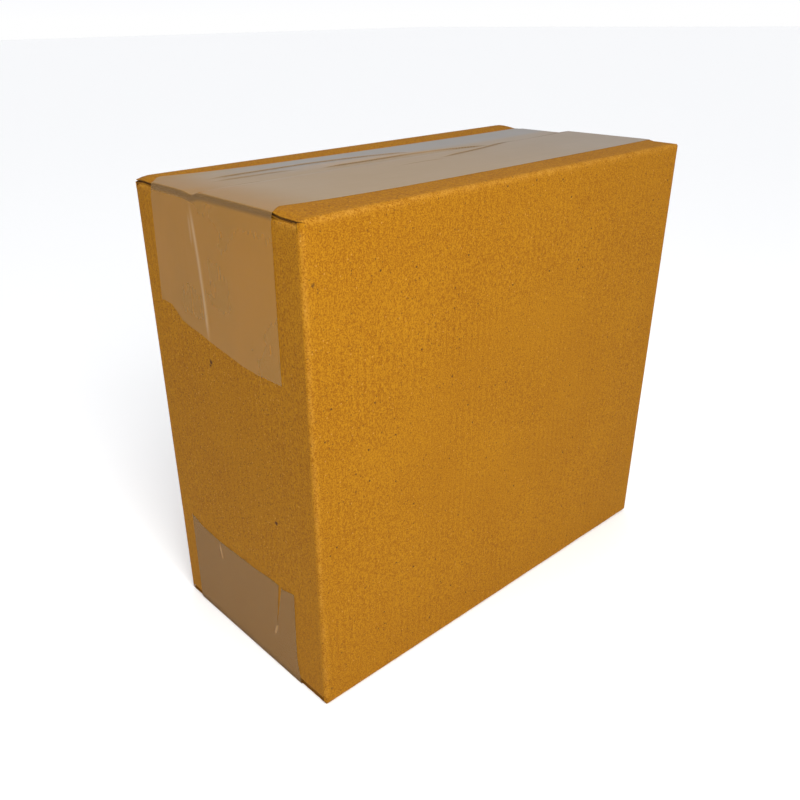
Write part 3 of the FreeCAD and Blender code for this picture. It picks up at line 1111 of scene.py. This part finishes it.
# The torn part's outline: the first row, one side, the jagged tear, the other side
def tornOutline(strip, join, tornEnd, across):
    half = tape["width"] / 2
    draw = np.random.default_rng(strip["seed"])
    tear = [(tornEnd + back, half * (2 * share - 1)) for share, back in strip["tear"]]
    ragged = []
    for (a0, b0), (a1, b1) in zip(tear, tear[1:]):
        steps = max(1, int(math.hypot(a1 - a0, b1 - b0) / tape["tornStep"]))
        for step in range(steps):
            share = step / steps
            jag = draw.normal(0, tape["jag"]) if 0 < step else 0.0
            ragged.append((a0 + (a1 - a0) * share + jag, b0 + (b1 - b0) * share + jag * 0.5))
    ragged.append(tear[-1])

    def sideLine(start, end, b):
        steps = int(abs(end - start) / tape["grid"])
        return [(start + (end - start) * step / steps, b) for step in range(1, steps)]

    return ([(join, b) for b in across[::-1]] + sideLine(join, ragged[0][0], -half)
            + ragged + sideLine(ragged[-1][0], join, half))


# Those of the spots that lie inside a closed ring, a little away from it
def spotsInside(ring, spots):
    odd = np.zeros(len(spots), bool)
    nearest = np.full(len(spots), 1e9)
    for start, end in zip(ring, np.roll(ring, -1, axis=0)):
        crosses = (start[1] > spots[:, 1]) != (end[1] > spots[:, 1])
        edge = end - start
        reached = start[0] + (spots[:, 1] - start[1]) * edge[0] / (edge[1] or 1e-12)
        odd ^= crosses & (spots[:, 0] < reached)
        share = np.clip(((spots - start) @ edge) / max(edge @ edge, 1e-12), 0, 1)
        nearest = np.minimum(nearest, np.linalg.norm(spots - start - share[:, None] * edge, axis=1))
    return spots[odd & (nearest > tape["edgeRoom"])]


def layStrip(strip):
    run, _, pathZ = stripPath(strip)
    # Where the path passes a level: the reach is measured down from the face
    skip = tape["flatSteps"]
    down = np.abs(pathZ - strip["face"])[skip:]
    tornEnd = -float(np.interp(strip["torn"], down, run[skip:]))
    cutEnd = float(np.interp(strip["cut"], down, run[skip:]))
    join = -(halfLength + tape["tornJoin"])
    flat, faces, across = layRows(strip, join, cutEnd)

    # The torn part is filled with triangles
    outline = tornOutline(strip, join, tornEnd, across)
    grid = tape["grid"]
    gridA, gridB = np.meshgrid(np.arange(join - grid, tornEnd, -grid), across[1:-1])
    spots = np.stack([gridA.ravel(), gridB.ravel()], 1)
    inside = spotsInside(np.array(outline), spots)
    points = [Vector(spot) for spot in outline + inside.tolist()]
    made = delaunay_2d_cdt(points, [], [list(range(len(outline)))], 1, 1e-5)
    known = {(round(a, 4), round(b, 4)): index for index, (a, b) in enumerate(flat)}
    numbers = []
    for vertex in made[0]:
        key = (round(vertex.x, 4), round(vertex.y, 4))
        if key not in known:
            known[key] = len(flat)
            flat.append((vertex.x, vertex.y))
        numbers.append(known[key])
    for face in made[2]:
        corner = [numbers[index] for index in face]
        (a0, b0), (a1, b1), (a2, b2) = [flat[index] for index in corner]
        turned = (a1 - a0) * (b2 - b0) - (a2 - a0) * (b1 - b0)
        if abs(turned) > 1e-7:
            faces.append(corner if turned > 0 else corner[::-1])
    return flat, faces


def makeFilm(strip):
    flat, faces = layStrip(strip)
    turn = np.array((1, strip["up"]))
    if strip["up"] < 0:
        # Seen from outside, the bottom strip is turned over
        flat = [(a, -b) for a, b in flat]
        faces = [face[::-1] for face in faces]

    def stick(spots, depth):
        return stickFilm(strip, spots * turn, depth)[0]

    piece, layout = thinSheet(strip["name"], flat, faces, tape["thickness"], [], stick)
    giveMap(piece, "strip", layout, 0)
    _, look = stickFilm(strip, layout["flat"] * turn, 0.0)
    for name, values in look.items():
        giveValue(piece, name, np.clip(np.concatenate([values, values]), 0, 1))
    piece.data.materials.append(filmMaterial)
    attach(piece, "root")
    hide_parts(strip["node"])
    print(f"{strip['name']}: {len(piece.data.polygons)} faces")


makeFilm(topTape)
makeFilm(bottomTape)


# Floor, light and camera

studio = {
    "floor": rgb(0.965, 0.965, 0.965),
    "floorReach": 12.0,
    # the sky's colour by height: 0 at the horizon, 1 overhead
    "sky": [
        (0.0, rgb(1.0, 1.0, 1.0)), (0.04, rgb(0.95, 0.96, 1.0)), (0.12, rgb(0.68, 0.70, 0.76)),
        (0.5, rgb(0.50, 0.51, 0.53)), (1.0, rgb(0.42, 0.43, 0.45)),
    ],
    # kind, place, aim, size in metres or angle in degrees, energy, colour
    "lights": [
        ("SUN", (0.08, -1.30, 0.95), (0.0, 0.0, 0.09), 50.0, 0.77, (1.0, 0.98, 0.94)),
        ("SUN", (0.0, 0.1, 1.6), (0.0, 0.0, 0.1), 90.0, 1.14, (1.0, 1.0, 1.0)),
        ("AREA", (-0.20, -0.345, 0.36), (-0.055, 0.0, 0.13), 0.22, 1.80, (1.0, 0.99, 0.95)),
        ("AREA", (-0.45, 0.25, 0.42), (-0.10, 0.03, 0.12), 0.30, 0.14, (1.0, 0.98, 0.95)),
    ],
}
camera = {
    "place": (-0.2340, -0.2304, 0.2324),
    "azimuth": -41.33,
    "elevation": 27.03,
    "roll": -0.99,
    "pixels": 800,  # the picture's width and height
    "focal": 811.0,  # in pixels, like the centre
    "centre": (373.0, 428.0),
}


def makeFloor():
    paint = Paint("floor")
    place = paint.add("ShaderNodeTexCoord", {}, {}, 3)
    fine = paint.add("ShaderNodeTexNoise", {}, {"Vector": place, "Scale": 3.0})
    rough = 0.85 + (fine - 0.5) * 0.1
    shader = paint.add("ShaderNodeBsdfPrincipled", {}, {
        "Base Color": studio["floor"], "Roughness": rough, "Specular IOR Level": 0.1})
    paint.close(shader)
    far = studio["floorReach"]
    corners = [(-far, -far, 0), (far, -far, 0), (far, far, 0), (-far, far, 0)]
    floor = addMesh("floor", corners, [(0, 1, 2, 3)])
    floor.data.materials.append(paint.material)


def makeLights():
    world = bpy.data.worlds.new("studio")
    bpy.context.scene.world = world
    world.use_nodes = True
    sky = Tree(world.node_tree)
    height = sky.add("ShaderNodeSeparateXYZ", {}, {0: sky.add("ShaderNodeTexCoord")}, 2)
    colour = sky.add("ShaderNodeValToRGB", {"stops": studio["sky"]}, {0: height})
    glow = sky.add("ShaderNodeBackground", {}, {"Color": colour, "Strength": 1.0})
    end = sky.tree.nodes.new("ShaderNodeOutputWorld")
    sky.tree.links.new(glow.socket, end.inputs[0])
    for number, (kind, place, aim, size, energy, colour) in enumerate(studio["lights"]):
        light = bpy.data.lights.new(f"light{number}", kind)
        if kind == "SUN":
            light.angle = math.radians(size)
        else:
            light.size = size
        light.energy = energy
        light.color = colour
        holder = addObject(light.name, light)
        holder.location = place
        facing = Vector(aim) - Vector(place)
        holder.rotation_mode = "QUATERNION"
        holder.rotation_quaternion = facing.to_track_quat("-Z", "Y")
        holder.visible_camera = False
    bpy.context.scene.view_settings.view_transform = "Standard"


def makeCamera():
    data = bpy.data.cameras.new("camera")
    data.sensor_width = 36.0
    pixels = camera["pixels"]
    data.lens = camera["focal"] / pixels * data.sensor_width
    data.shift_x = (pixels / 2 - camera["centre"][0]) / pixels
    data.shift_y = (camera["centre"][1] - pixels / 2) / pixels
    data.clip_start = 0.01
    holder = addObject("camera", data)
    a, e, r = [math.radians(camera[name]) for name in ("azimuth", "elevation", "roll")]
    back = Vector((math.sin(a) * math.cos(e), -math.cos(a) * math.cos(e), math.sin(e)))
    level = Vector((0, 0, 1)).cross(back).normalized()
    upright = back.cross(level)
    right = math.cos(r) * level + math.sin(r) * upright
    over = -math.sin(r) * level + math.cos(r) * upright
    turn = Matrix((right, over, back)).transposed()
    holder.matrix_world = Matrix.Translation(Vector(camera["place"])) @ turn.to_4x4()
    bpy.context.scene.camera = holder


makeFloor()
makeLights()
makeCamera()
print("floor, light and camera made")
